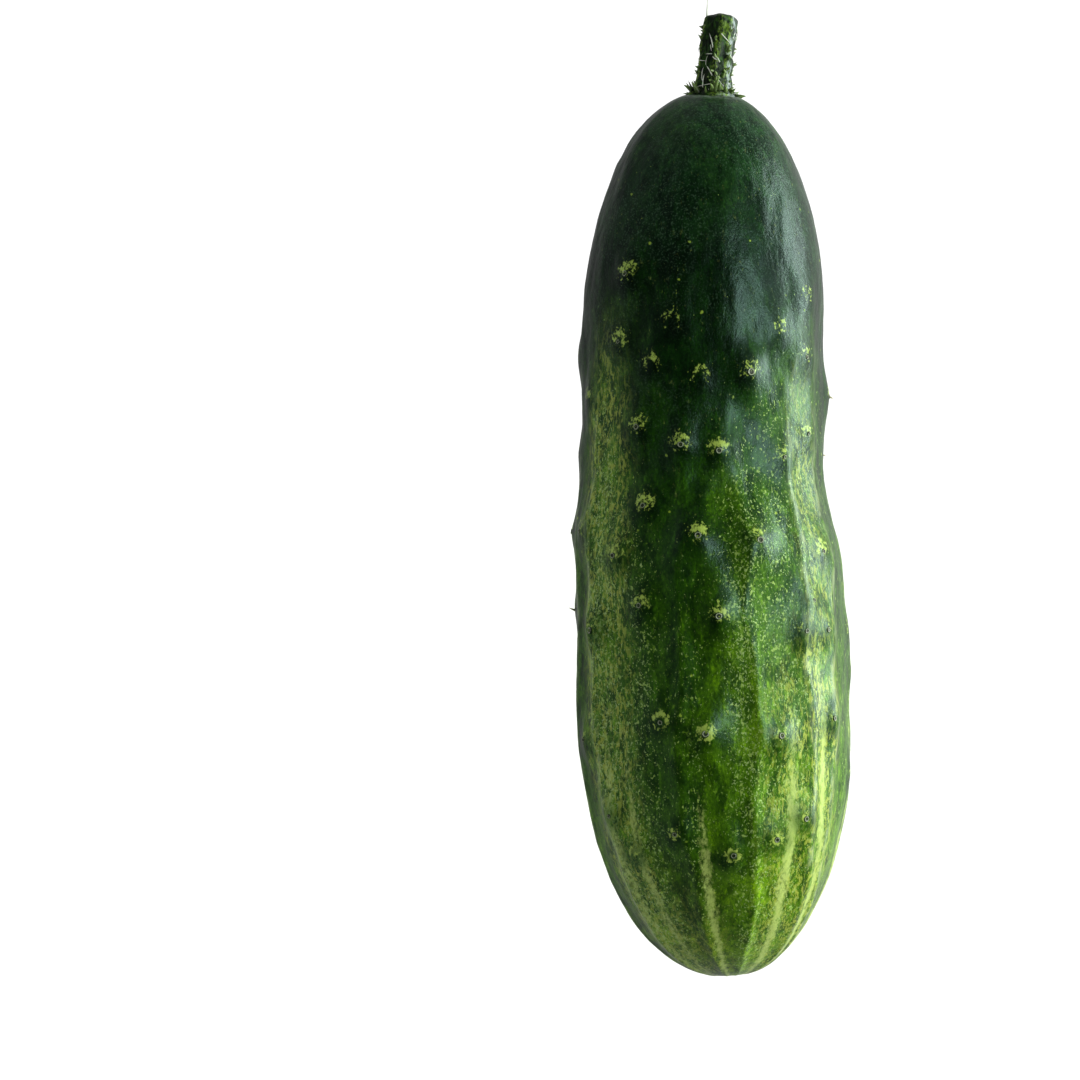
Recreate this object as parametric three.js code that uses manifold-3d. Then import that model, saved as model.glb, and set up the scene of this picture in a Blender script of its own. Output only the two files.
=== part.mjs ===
// A ridge cucumber as picked, lying on its side. Millimetres, +Z up.
// +X runs along the fruit from the blossom end to the stem. The origin is on the surface that the
// cucumber lies on, under the middle of the fruit and its stem together. The fruit grew as one piece
// and is one solid; the cut stalk that it hung from is a second solid, seated on the fruit's stem end.
//
// A point of the skin is given by two numbers: along, the distance from the blossom end measured on
// the middle line, and around, an angle counted towards the front (-Y) from the fruit's face line.

import * as THREE from "three";
import { mergeVertices } from "three/addons/utils/BufferGeometryUtils.js";
import Module from "manifold-3d";

const wasm = await Module();
wasm.setup();

const { degToRad, lerp, smoothstep } = THREE.MathUtils;

// Fruit
const FRUIT_LENGTH = 149.6; // blossom end to the seat of the stem
const BUTT_RADIUS = 22.5; // over the blossom half, where the fruit is widest
const NECK_RADIUS = 20.3; // over the stem half
const NECK_FROM = 68; // the radius changes from one to the other between these
const NECK_TO = 88;
const BLOSSOM_CAP = 42; // length of the rounded blossom end, a quarter of an ellipse
const SHOULDER_FROM = 113.3; // where the rounded stem end begins
const SHOULDER_CAP = 37.7; // half axis of its ellipse, which the stem's seat cuts off short
const BOW = 3; // sideways bow of the middle line, towards +Y
const FACE_TURN = -21.4; // degrees from the top of the lying fruit to its face line, so towards the back
const REST_FLAT = 0.3; // how far the belly gives where it bears on the surface
const SCAR_RADIUS = 2.2; // of the dimple that the flower left
const SCAR_DEPTH = 0.7;

// Skin relief
const RIB_ANGLES = [-134, -106, -80, -59, -14, 14, 43, 58, 90, 118, 149, 205];
const RIB_HEIGHT = 0.45;
const RIB_SPREAD = 5; // degrees
const RIB_FADE = 0.55; // share of its height that a rib loses by the stem end
const LOBE_HEIGHT = 0.3; // the fruit is a little three-sided, after its three chambers
const LOBE_ANGLE = 50;
const WAVE_HEIGHT = 0.14;
const WART_HEIGHT = 1.15;
const WART_SPREAD = 2.3;
const WART_STRETCH = 0.75; // warts are longer along the fruit than across it

// Each wart's place, as [along, around], in the loose rows that warts grow in
const WARTS = [
  [105, -90], [89, -88], [63, -93], [76, -92],
  [76, -69], [42, -68], [98, -67],
  [60, -57], [30, -53], [118, -40], [107, -44], [72, -44], [24, -45],
  [93, -32], [80, -29], [64, -31], [103, -26], [45, -24], [27, -21],
  [110, -17], [90, -11], [75, -5], [43, -5], [101, -3],
  [62, 2], [23, 4], [89, 6],
  [102, 20], [74, 20], [42, 26], [25, 24],
  [109, 36], [88, 38], [59, 39], [28, 38], [64, 44],
  [115, 52], [105, 52], [92, 54], [72, 54], [59, 52], [44, 54],
  [99, 90], [58, 88], [51, 92], [33, 82],
];
// The back carries rows of its own, evenly mixed, and none along the belly that the fruit lies on.
const BACK_ROWS = [-136, -115, 110, 131, 152, 174];
const BACK_FIRST = 24;
const BACK_STEP = 17;
const BACK_LAST = 116;
const BACK_STAGGER = 7; // each row starts this much later than the one before
const BACK_SWAY = 4; // degrees that a back wart stands to one side of its row

// Stem
const STEM_GAP = 0.3; // clearance between the stem and its seat
const STEM_BEND = 0.8; // sideways shift of the cut end, towards the front
const STEM_RIB_ANGLES = [-92, -23, 18, 90, 145, 205]; // from the top towards the front
const STEM_RIB_HEIGHT = 0.16; // as a share of the radius
const STEM_RIB_SPREAD = 14; // degrees
const STEM_OUTLINE = [
  [0, 0], [4.3, 0], [4.35, 0.4], [3.8, 1.1], [3.3, 1.9], [2.95, 3], [2.75, 4.6], [2.68, 6.3],
  [2.65, 8], [2.65, 9.8], [2.66, 11.7], [2.68, 13.3], [2.5, 14.2], [2, 14.7], [0, 15],
];
const PRICKLE_RADIUS = 0.42;
const PRICKLE_ROOT = 0.5; // how deep its base sits in the stem
const PRICKLE_LENGTH = 1; // on the ribs
const PRICKLE_LEVELS = [3.6, 6.4, 9.2, 12];
const PRICKLE_STAGGER = 0.5; // steps between the heights of prickles on neighbouring ribs
const SPUR_LENGTH = 1.8; // the longer ones round the stem's foot
const SPUR_LEVEL = 1.1;
const SPUR_COUNT = 9;
const PRICKLE_LIFT = 25; // degrees towards the cut end

// Mesh steps
const AROUND_STEPS = 72;
const BLOSSOM_STEPS = 16;
const BODY_STEPS = 31;
const SHOULDER_STEPS = 13;
const STEM_AROUND_STEPS = 36;

const skinMaterial = new THREE.MeshStandardMaterial({ color: "#24481a", roughness: 0.4, metalness: 0 });
const stalkMaterial = new THREE.MeshStandardMaterial({ color: "#2c4a12", roughness: 0.7, metalness: 0 });

// Radius of the body before its ends are rounded.
function bodyRadius(along) {
  return lerp(BUTT_RADIUS, NECK_RADIUS, smoothstep(along, NECK_FROM, NECK_TO));
}

// Radius of the smooth fruit, without ribs and warts.
function smoothRadius(along) {
  const blossom = Math.max(0, 1 - along / BLOSSOM_CAP);
  const shoulder = Math.max(0, (along - SHOULDER_FROM) / SHOULDER_CAP);
  return bodyRadius(along) * Math.sqrt((1 - blossom ** 2) * (1 - shoulder ** 2));
}

// A point on the middle line, and the directions along, to the front and up there.
// The line drops as the body gets thinner, so that the belly stays level.
function middle(along) {
  const t = along / FRUIT_LENGTH;
  const slope = (4 * BOW * (1 - 2 * t)) / FRUIT_LENGTH;
  const forward = new THREE.Vector3(1, slope, 0).normalize();
  return {
    at: new THREE.Vector3(along, 4 * BOW * t * (1 - t), bodyRadius(along) - REST_FLAT),
    forward,
    front: new THREE.Vector3(forward.y, -forward.x, 0),
    up: new THREE.Vector3(0, 0, 1),
  };
}

// Outward direction across the fruit at an angle around it.
function outward(frame, around) {
  const turned = around + degToRad(FACE_TURN);
  return frame.front.clone().multiplyScalar(Math.sin(turned)).addScaledVector(frame.up, Math.cos(turned));
}

function smoothPoint(along, around) {
  const frame = middle(along);
  return frame.at.clone().addScaledVector(outward(frame, around), smoothRadius(along));
}

function backWarts() {
  const found = [];
  BACK_ROWS.forEach((row, i) => {
    const start = BACK_FIRST + ((i * BACK_STAGGER) % BACK_STEP);
    for (let along = start, side = 1; along <= BACK_LAST; along += BACK_STEP, side = -side) {
      found.push([along, row + side * BACK_SWAY]);
    }
  });
  return found;
}

const wartPoints = [...WARTS, ...backWarts()].map(([along, around]) => smoothPoint(along, degToRad(around)));

function wartRelief(point) {
  let height = 0;
  for (const wart of wartPoints) {
    const dx = (point.x - wart.x) * WART_STRETCH;
    const squared = dx ** 2 + (point.y - wart.y) ** 2 + (point.z - wart.z) ** 2;
    height += Math.exp(-squared / (2 * WART_SPREAD ** 2));
  }
  return WART_HEIGHT * Math.min(height, 1);
}

// The shorter way round from one angle to another.
function radiansBetween(a, b) {
  return Math.atan2(Math.sin(a - b), Math.cos(a - b));
}

function ribRelief(along, around) {
  const strength = 1 - (RIB_FADE * along) / FRUIT_LENGTH;
  const spread = degToRad(RIB_SPREAD);
  let height = 0;
  for (const angle of RIB_ANGLES) {
    height += Math.exp(-(radiansBetween(around, degToRad(angle)) ** 2) / (2 * spread ** 2));
  }
  return RIB_HEIGHT * strength * height;
}

function waveRelief(along, around) {
  const lobes = LOBE_HEIGHT * Math.cos(3 * (around - degToRad(LOBE_ANGLE)));
  const waves = Math.sin(along / 9 + 2 * around) + Math.sin(along / 5.3 - 3 * around + 1);
  return lobes + WAVE_HEIGHT * waves;
}

// How far the skin stands out from the smooth fruit. It fades to nothing at both ends of the
// middle line, and the flower's scar sinks in.
function relief(along, around, point) {
  const radius = smoothRadius(along);
  const fade = smoothstep(radius, 0, NECK_RADIUS * 0.8);
  const scar = SCAR_DEPTH * Math.exp(-((radius / SCAR_RADIUS) ** 2));
  const atBlossom = along < BLOSSOM_CAP ? 1 : 0;
  return fade * (ribRelief(along, around) + waveRelief(along, around)) + wartRelief(point) * fade - scar * atBlossom;
}

// The fruit's profile from the blossom end to the middle of the stem's seat, as lathe points.
function fruitOutline() {
  const points = [];
  for (let i = 0; i < BLOSSOM_STEPS; i += 1) {
    points.push(BLOSSOM_CAP * (1 - Math.cos((i / BLOSSOM_STEPS) * (Math.PI / 2))));
  }
  for (let i = 0; i < BODY_STEPS; i += 1) {
    points.push(lerp(BLOSSOM_CAP, SHOULDER_FROM, i / BODY_STEPS));
  }
  const seatAngle = Math.asin((FRUIT_LENGTH - SHOULDER_FROM) / SHOULDER_CAP);
  for (let i = 0; i <= SHOULDER_STEPS; i += 1) {
    points.push(SHOULDER_FROM + SHOULDER_CAP * Math.sin((i / SHOULDER_STEPS) * seatAngle));
  }
  const outline = points.map((along) => new THREE.Vector2(smoothRadius(along), along));
  outline.push(new THREE.Vector2(0, FRUIT_LENGTH));
  return outline;
}

// The unit normal of the profile, as its shares across and along the fruit.
function profileNormal(along) {
  const step = 0.01;
  const low = Math.max(0, along - step);
  const high = Math.min(FRUIT_LENGTH, along + step);
  const slope = (smoothRadius(high) - smoothRadius(low)) / (high - low);
  return new THREE.Vector2(1, -slope).normalize();
}

// Turns a lathed profile into the fruit: bowed, ribbed, warty, and flat where it lies.
function fruitGeometry() {
  const geometry = new THREE.LatheGeometry(fruitOutline(), AROUND_STEPS);
  const position = geometry.getAttribute("position");
  for (let i = 0; i < position.count; i += 1) {
    const along = position.getY(i);
    const radius = Math.hypot(position.getX(i), position.getZ(i));
    const around = Math.atan2(position.getX(i), position.getZ(i));
    const frame = middle(along);
    const out = outward(frame, around);
    const point = frame.at.clone().addScaledVector(out, radius);
    const onSeat = along > FRUIT_LENGTH - 1e-3;
    if (!onSeat) {
      const normal = profileNormal(along);
      const height = relief(along, around, point);
      point.addScaledVector(out, height * normal.x).addScaledVector(frame.forward, height * normal.y);
    }
    position.setXYZ(i, point.x, point.y, Math.max(point.z, 0));
  }
  return geometry;
}

function toManifold(geometry) {
  const bare = geometry.clone();
  bare.deleteAttribute("normal");
  bare.deleteAttribute("uv");
  const merged = mergeVertices(bare, 1e-3);
  return new wasm.Manifold(
    new wasm.Mesh({
      numProp: 3,
      vertProperties: new Float32Array(merged.getAttribute("position").array),
      triVerts: new Uint32Array(merged.index.array),
    }),
  );
}

function fromManifold(solid) {
  const mesh = solid.getMesh();
  const geometry = new THREE.BufferGeometry();
  geometry.setAttribute("position", new THREE.BufferAttribute(mesh.vertProperties, 3));
  geometry.setIndex(new THREE.BufferAttribute(mesh.triVerts, 1));
  return geometry;
}

// The ribbed stalk, standing along +Y with its middle line bent a little towards +X.
function stalkGeometry() {
  const outline = STEM_OUTLINE.map(([radius, height]) => new THREE.Vector2(radius, height));
  const geometry = new THREE.LatheGeometry(outline, STEM_AROUND_STEPS);
  const position = geometry.getAttribute("position");
  for (let i = 0; i < position.count; i += 1) {
    const ribbed = stalkRib(Math.atan2(position.getX(i), position.getZ(i)));
    const height = position.getY(i);
    position.setX(i, position.getX(i) * ribbed + stalkBend(height));
    position.setZ(i, position.getZ(i) * ribbed);
  }
  return geometry;
}

// Radius of the ribbed stalk at an angle around it, as a share of its outline's radius.
function stalkRib(around) {
  let share = 1;
  for (const angle of STEM_RIB_ANGLES) {
    const away = radiansBetween(around, degToRad(angle)) / degToRad(STEM_RIB_SPREAD);
    share += STEM_RIB_HEIGHT * Math.exp(-(away ** 2) / 2);
  }
  return share;
}

function stemLength() {
  return Math.max(...STEM_OUTLINE.map(([, height]) => height));
}

function stalkBend(height) {
  return STEM_BEND * (height / stemLength()) ** 2;
}

function stalkRadius(height, around) {
  const side = STEM_OUTLINE.slice(1, -1);
  const upper = Math.max(1, side.findIndex(([, level]) => level >= height));
  const [[r0, h0], [r1, h1]] = [side[upper - 1], side[upper]];
  return lerp(r0, r1, (height - h0) / (h1 - h0)) * stalkRib(around);
}

// One prickle on the stalk, leaning towards the cut end.
function prickleGeometry(level, around, length) {
  const cone = new THREE.ConeGeometry(PRICKLE_RADIUS, length + PRICKLE_ROOT, 6);
  cone.translate(0, (length - PRICKLE_ROOT) / 2, 0);
  cone.rotateX(Math.PI / 2 - degToRad(PRICKLE_LIFT));
  cone.translate(0, level, stalkRadius(level, around));
  cone.rotateY(around);
  cone.translate(stalkBend(level), 0, 0);
  return cone;
}

function stemGeometry() {
  const prickles = [];
  STEM_RIB_ANGLES.forEach((angle, rib) => {
    PRICKLE_LEVELS.forEach((level, i) => {
      const stagger = ((rib * 2 + i) % 3) * PRICKLE_STAGGER;
      prickles.push(prickleGeometry(level + stagger, degToRad(angle), PRICKLE_LENGTH));
    });
  });
  for (let spur = 0; spur < SPUR_COUNT; spur += 1) {
    prickles.push(prickleGeometry(SPUR_LEVEL, (spur / SPUR_COUNT) * 2 * Math.PI, SPUR_LENGTH));
  }
  let solid = toManifold(stalkGeometry());
  for (const prickle of prickles) solid = solid.add(toManifold(prickle));
  return fromManifold(solid);
}

function namedMesh(name, geometry, material) {
  const mesh = new THREE.Mesh(geometry, material);
  mesh.name = name;
  return mesh;
}

const cucumber = new THREE.Group();
cucumber.add(namedMesh("fruit", fruitGeometry(), skinMaterial));

// The stem stands on its seat along the middle line's end, clear of it by the gap.
const seat = middle(FRUIT_LENGTH);
const stemMount = new THREE.Group();
stemMount.position.copy(seat.at).addScaledVector(seat.forward, STEM_GAP);
stemMount.rotation.z = Math.atan2(seat.forward.y, seat.forward.x) - Math.PI / 2;
stemMount.add(namedMesh("stem", stemGeometry(), stalkMaterial));
cucumber.add(stemMount);

// The origin goes under the middle of the whole cucumber.
cucumber.updateMatrixWorld(true);
const box = new THREE.Box3().setFromObject(cucumber, true);
const centre = box.getCenter(new THREE.Vector3());
cucumber.position.set(-centre.x, -centre.y, 0);

export default cucumber;
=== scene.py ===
"""A ridge cucumber lying on its side, with a fine warty skin and a prickly cut stem.

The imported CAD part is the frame: its fruit and stem are replaced by finer ones of the same size and
shape, which are worked out in millimetres by much the same formulas. A point of the skin is given by
"along", the distance from the blossom end on the middle line, and "around", an angle counted towards
the front (-Y) from the face line that the camera looks at.
"""
import math

import bpy
import numpy as np
from mathutils import Matrix, Vector, noise


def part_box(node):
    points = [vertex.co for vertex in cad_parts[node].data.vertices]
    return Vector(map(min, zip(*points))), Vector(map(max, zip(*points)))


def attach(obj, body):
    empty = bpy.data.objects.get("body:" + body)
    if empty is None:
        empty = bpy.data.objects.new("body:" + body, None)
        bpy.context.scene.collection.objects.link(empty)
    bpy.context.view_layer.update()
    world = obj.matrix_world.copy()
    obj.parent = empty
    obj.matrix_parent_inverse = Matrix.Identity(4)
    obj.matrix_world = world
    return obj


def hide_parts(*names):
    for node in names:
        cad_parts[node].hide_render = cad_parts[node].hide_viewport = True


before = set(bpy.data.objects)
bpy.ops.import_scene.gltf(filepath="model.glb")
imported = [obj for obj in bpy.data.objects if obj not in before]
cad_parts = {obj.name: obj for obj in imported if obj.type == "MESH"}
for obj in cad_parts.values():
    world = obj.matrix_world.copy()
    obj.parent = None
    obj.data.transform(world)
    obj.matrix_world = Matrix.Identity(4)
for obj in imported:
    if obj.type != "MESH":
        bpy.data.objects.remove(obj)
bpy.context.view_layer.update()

MM = 0.001
UP = np.array([0, 0, 1.0])
RNG = np.random.default_rng(7)

# Fruit, as in the CAD part
FRUIT_LENGTH = 149.6
BUTT_RADIUS, NECK_RADIUS = 22.5, 20.3
NECK_FROM, NECK_TO = 68, 88
BLOSSOM_CAP = 42
SHOULDER_FROM, SHOULDER_CAP = 113.3, 37.7
BOW = 3
FACE_TURN = -21.4  # degrees from the top of the lying fruit to its face line
REST_FLAT = 0.3
SCAR_RADIUS, SCAR_DEPTH = 2.2, 0.7
RIB_ANGLES = (-134, -106, -80, -59, -14, 14, 43, 58, 90, 118, 149, 205)
RIB_HEIGHT = 0.45
LOBE_HEIGHT, LOBE_ANGLE = 0.3, 50
WAVE_HEIGHT = 0.14
WART_HEIGHT, WART_SPREAD, WART_STRETCH = 1.15, 2.3, 0.75
CROWDED = 1.2  # the most that neighbouring warts add up to
RELIEF_FROM = 0.8  # of the neck radius, where the relief has its full height

# Finer relief that only the visual skin has. Places along are in millimetres.
RIB_SPREAD = 4.2  # degrees, a little crisper than the CAD ribs
RIB_WANDER = 2.8  # degrees that a rib strays to each side
RIB_FADE = 0.7  # share of its height that a rib loses between the next two places along
RIB_FADE_FROM, RIB_FADE_TO = 40, 125
CREST_HEIGHT, CREST_SPREAD = 0.20, 1.7  # the fine crest along each rib, and its spread in degrees
CREST_FADE_FROM, CREST_FADE_TO = 70, 100
TIP_HEIGHT, TIP_SPREAD = 0.14, 0.9  # the nipple on top of each wart
PUCKER_HEIGHT, PUCKER_SIZE = 0.16, 5.0
PEBBLE_HEIGHT, PEBBLE_SIZE = 0.05, 1.6
SKIN_AROUND, SKIN_ALONG = 400, 240

# Each wart as (along, around, size), in the loose rows that warts grow in
WARTS = (
    (105, -90, 0.6), (89, -88, 0.6), (63, -93, 0.6), (76, -92, 0.9),
    (76, -69, 0.8), (42, -68, 0.8), (98, -67, 0.6),
    (60, -57, 1.1), (30, -53, 0.7), (118, -40, 1.0), (107, -44, 0.7), (72, -44, 0.9), (24, -45, 0.6),
    (93, -32, 1.0), (80, -29, 0.9), (64, -31, 0.9), (103, -26, 0.5), (45, -24, 0.8), (27, -21, 0.8),
    (110, -17, 0.4), (90, -11, 1.0), (75, -5, 1.1), (43, -5, 1.1), (101, -3, 0.5),
    (62, 2, 1.1), (23, 4, 0.9), (89, 6, 1.0),
    (102, 20, 1.2), (74, 20, 1.1), (42, 26, 1.0), (25, 24, 0.9),
    (109, 36, 0.6), (88, 38, 0.7), (59, 39, 0.8), (28, 38, 0.9), (64, 44, 0.7),
    (115, 52, 0.6), (105, 52, 0.7), (92, 54, 0.8), (72, 54, 0.8), (59, 52, 0.9), (44, 54, 0.9),
    (99, 90, 0.75), (58, 88, 0.4), (51, 92, 0.4), (33, 82, 0.4),
)
# Rows of even warts on the back, as angles around, and the places along of the warts in a row
BACK_ROWS = (-136, -115, 110, 131, 152, 174)
BACK_FIRST, BACK_STEP, BACK_LAST = 24, 17, 116
BACK_STAGGER, BACK_SWAY = 7, 4  # mm from one row to the next, and degrees to each side of a row
BACK_SIZE = 0.9

# Pale stripes that run up from the blossom end, as (around, width in degrees, length in mm, strength)
STRIPES = (
    (-54, 2.6, 62, 0.7), (-41, 2.6, 54, 0.7), (-8, 2.4, 42, 0.85), (31, 2.8, 58, 0.95), (49, 2.1, 72, 0.95),
    (88, 2.6, 58, 0.9), (120, 3.0, 52, 0.9), (160, 2.8, 56, 0.9), (200, 2.8, 54, 0.9), (236, 3.0, 58, 0.9),
    (262, 2.6, 54, 0.8),
)
STRIPE_WANDER = 1.3  # degrees that a stripe strays to each side
# The fruit is paler down these sides, as (around, half width in degrees, top in mm, strength)
PALE_SIDES = (
    (36, 32, 62, 0.45), (14, 14, 98, 0.5), (50, 20, 124, 0.28), (-52, 16, 122, 0.7), (95, 20, 100, 0.3),
    (150, 40, 110, 0.45), (-125, 40, 110, 0.45),
)
# Bands marbled with olive, as (around, half width in degrees, top in mm, strength)
MARBLED = (
    (-52, 15, 124, 1.0), (50, 12, 124, 0.6), (38, 20, 72, 1.0), (-20, 30, 34, 0.6),
    (150, 30, 100, 0.7), (-115, 20, 110, 0.8),
)
# Bands of pale specks, as (around, half width in degrees, top in mm, strength)
SPECKLES = (
    (-54, 14, 122, 1.0), (-32, 10, 100, 0.75), (-12, 9, 90, 0.65), (11, 11, 110, 0.9), (30, 12, 124, 0.7),
    (47, 10, 128, 0.55), (68, 12, 124, 0.6), (92, 12, 118, 0.7), (128, 16, 112, 0.8), (172, 18, 112, 0.8),
    (-104, 16, 112, 0.9), (-145, 16, 112, 0.8),
)
BAND_FADE = 40  # mm over which a band fades out below its top
PALE_CREST_SPREAD = 1.2  # degrees, of the pale line along a rib's crest, partly its own colour and partly a painted highlight
PALE_CREST_FADE_FROM, PALE_CREST_FADE_TO = 70, 118  # places along between which it fades out
FACE_FROM, FACE_TO = 30, 45  # degrees from the face line between which it sets in

# Stem
STEM_LENGTH = 15.0
STEM_BEND = 0.8
STEM_RIB_ANGLES = (-92, -23, 18, 90, 145, 205)
STEM_RIB_HEIGHT, STEM_RIB_SPREAD = 0.16, 13
STEM_STRINGS, STEM_KNOBS, STEM_FOOT_LOBES = 0.16, 0.22, 0.25  # heights of its finer relief
STEM_OUTLINE = (
    (0, 4.5), (0.4, 4.2), (1.1, 3.6), (1.9, 3.15), (3, 2.85), (4.6, 2.68), (6.3, 2.62),
    (8, 2.58), (9.8, 2.58), (11.7, 2.6), (13.3, 2.62), (14.2, 2.5), (15, 2.4),
)
STEM_SINK = 0.2  # how far the stem's foot is set into the fruit
STEM_DOME = 0.9  # the rounded part at its cut end
CUT_LUMPS = 0.18  # height of the lumps on the cut
STEM_AROUND, STEM_SHAFT_ROWS, STEM_DOME_ROWS = 110, 100, 20

# Camera
CAMERA_DISTANCE = 600.0
FRAME_WIDTH = 183.6  # of the picture, at the fruit's middle line
SENSOR = 36.0
CAMERA_TILT = 20  # degrees that the camera stands off the vertical, towards the back
CAMERA_ROLL = -0.91
AIM_ABOVE, AIM_LEFT = -0.8, 29.2  # mm that it looks above and to the left of the fruit's middle

# Small growths, in millimetres
SCAR_PROFILE = (  # of the ring that a spine leaves on a wart, as (radius, height)
    (0.64, -0.10), (0.59, 0.00), (0.53, 0.06), (0.46, 0.09), (0.39, 0.06), (0.31, 0.01), (0.18, 0.00),
)
SCAR_SIDES, SCAR_SCALE = 20, 0.92
SCAR_TILT, SCAR_WEAR = 0.08, 0.012  # how far the ring leans, and how far its points stray
SMALLEST_SCARRED = 0.7  # size of the smallest warts that have the ring
SPINED = (99, 63)  # distances along of the two face warts that keep their spine, one at each side
SPINE_SHARE = 0.25  # of the back's warts that keep theirs
SPINE_LENGTH, SPINE_RADIUS, SPINE_SINK, SPINE_LEAN = 1.3, 0.24, 0.15, 0.18
ROSETTE_RADIUS, ROSETTE_HOLE, ROSETTE_HEIGHT = 2.3, 0.25, 0.16  # of the blossom scar
ROSETTE_FOLDS, ROSETTE_GRAIN, ROSETTE_RIM = 0.10, 0.10, 0.08
ROSETTE_RINGS, ROSETTE_SIDES, ROSETTE_LOBES = 12, 48, 7
PRICKLES, PRICKLE_LENGTH, PRICKLE_RADIUS, PRICKLE_SPAN = 84, 1.0, 0.45, (2, 13)
SPURS, SPUR_LENGTH, SPUR_RADIUS, SPUR_SPAN = 26, 2.0, 0.6, (0.7, 1.5)
PRICKLE_LIFT, SPUR_LIFT = 0.2, 0.45  # how far they lean towards the cut
CURL = 0.25  # how far prickles, spurs and hairs bend to the sides
HAIRS, HAIR_LENGTH, HAIR_RADIUS, HAIR_SPAN = 60, 2.3, 0.07, (0.6, 13)
FIBRE_LENGTH, FIBRE_RADIUS = 4.6, 0.16  # of the loose fibre at the cut
FIBRE_PLACE = (14.0, -1.8, 2.5)  # its height on the stem, angle in radians and distance from the middle

# Skin colours, as linear red, green and blue
SKIN_GREENS = (  # from the blossom end to the stem
    (0.0, (0.060, 0.130, 0.006)), (0.16, (0.024, 0.080, 0.002)), (0.40, (0.014, 0.056, 0.001)),
    (0.60, (0.005, 0.030, 0.001)), (0.80, (0.001, 0.009, 0.001)), (1.0, (0.008, 0.036, 0.009)),
)
PALE_GREEN = (0.060, 0.165, 0.003)
OLIVE = (0.340, 0.420, 0.055)
# pale green of the rib crests, partly their own colour and partly a painted highlight
CREST_GREEN_AND_HIGHLIGHT = (0.36, 0.44, 0.24)
SPECKS = (  # as (size in mm, stretch along the fruit, strength, colour)
    (0.85, 1.3, 0.50, (0.18, 0.34, 0.03)),
    (0.55, 1.3, 0.80, (0.31, 0.48, 0.10)),
    (0.36, 1.2, 0.80, (0.34, 0.50, 0.17)),
)
DOT_GREEN = (0.32, 0.48, 0.05)
STRIPE_YELLOW = (0.42, 0.55, 0.14)
HALO_GREEN = (0.33, 0.47, 0.08)
# pale bloom on the skin, partly painted glints of its sheen
BLOOM_AND_GLINT_GREEN = (0.08, 0.16, 0.09)
RIM_GREY = (0.22, 0.28, 0.22)
SCAR_COLOURS = (  # from the ring's rim to its pit
    (0.0, (0.004, 0.020, 0.002)), (0.26, (0.006, 0.026, 0.003)), (0.42, (0.26, 0.32, 0.19)),
    (0.58, (0.24, 0.29, 0.18)), (0.72, (0.003, 0.010, 0.002)), (1.0, (0.02, 0.035, 0.012)),
)
CORK = (0.34, 0.27, 0.14)
DARK_CORK = (0.187, 0.1485, 0.077)
DOTS_FROM, DOTS_TO = 125, 142  # places along between which the lone dots fade out
BLOOM_FROM, BLOOM_TO = 60, 130  # and the bloom, partly painted glints of the skin's sheen, sets in
RIM_FROM, RIM_TO = 148.7, 149.5  # and the grey rim round the stem's foot sets in

# Stem colours
STEM_BLACK = (0.001, 0.004, 0.001)
STEM_STRING = (0.008, 0.026, 0.002)
STEM_PATCH = (0.022, 0.085, 0.002)
STEM_CREST = (0.150, 0.270, 0.020)
# pale grey of the dry fibres at the foot, also used for the painted sheen on the stem's front
STEM_FIBRE_AND_SHEEN = (0.32, 0.40, 0.38)
CUT_DARK, CUT_GREEN = (0.008, 0.014, 0.003), (0.060, 0.100, 0.014)

# Colours of the small growths, as (base, tip)
SPINE_COLOURS = ((0.16, 0.17, 0.06), (0.55, 0.48, 0.30))
PRICKLE_COLOURS = ((0.004, 0.016, 0.001), (0.15, 0.24, 0.06))
HAIR_COLOURS = ((0.55, 0.62, 0.50), (0.80, 0.84, 0.74))

# Stage
FLOOR_SIZE = 8.0
BACKDROP = 0.97
ROOM_FRONT = 4.5  # how much brighter the room is in front than behind
# Room light as (place, level), where places run from 0, under or in front, to 1, overhead or behind
ROOM_HEIGHTS = ((0.0, 0.20), (0.3, 0.15), (0.5, 0.12), (0.8, 0.008))
ROOM_DEPTHS = ((0.0, 1.0), (0.6, 1 / ROOM_FRONT))
# Lights as (name, compass angle from +X, elevation, distance, width, height, radiance, mirrored), with
# angles in degrees and lengths in metres. The last says whether the light shows in reflections.
PART_LIGHTS = (
    ("key", -78, 20, 0.66, 0.56, 0.32, 10.0, True),
    ("strip", -62, 76, 1.0, 0.12, 0.07, 120.0, True),
    ("side", -90, 40, 0.9, 0.8, 0.8, 4.6, False),
    ("fill", 90, 15, 0.9, 0.8, 0.4, 0.6, False),
)
FLOOR_LIGHT = ("top", 0, 90, 1.2, 2.2, 2.2, 2.5, True)


# ---------------------------------------------------------------- the fruit's shape

def smoothstep(x, low, high):
    t = np.clip((np.asarray(x, float) - low) / (high - low), 0, 1)
    return t * t * (3 - 2 * t)


def wrapped(angle):
    """An angle in radians, brought between -pi and pi."""
    return np.arctan2(np.sin(angle), np.cos(angle))


def body_radius(along):
    return BUTT_RADIUS + (NECK_RADIUS - BUTT_RADIUS) * smoothstep(along, NECK_FROM, NECK_TO)


def smooth_radius(along):
    blossom = np.maximum(0, 1 - along / BLOSSOM_CAP)
    shoulder = np.maximum(0, (along - SHOULDER_FROM) / SHOULDER_CAP)
    return body_radius(along) * np.sqrt((1 - blossom**2) * (1 - shoulder**2))


def middle(along):
    """Points of the middle line, and the directions along and to the front there."""
    along = np.asarray(along, float)
    t = along / FRUIT_LENGTH
    slope = 4 * BOW * (1 - 2 * t) / FRUIT_LENGTH
    at = np.stack([along, 4 * BOW * t * (1 - t), body_radius(along) - REST_FLAT], -1)
    forward = np.stack([np.ones_like(slope), slope, np.zeros_like(slope)], -1)
    forward /= np.linalg.norm(forward, axis=-1, keepdims=True)
    front = np.stack([forward[..., 1], -forward[..., 0], np.zeros_like(slope)], -1)
    return at, forward, front


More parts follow.
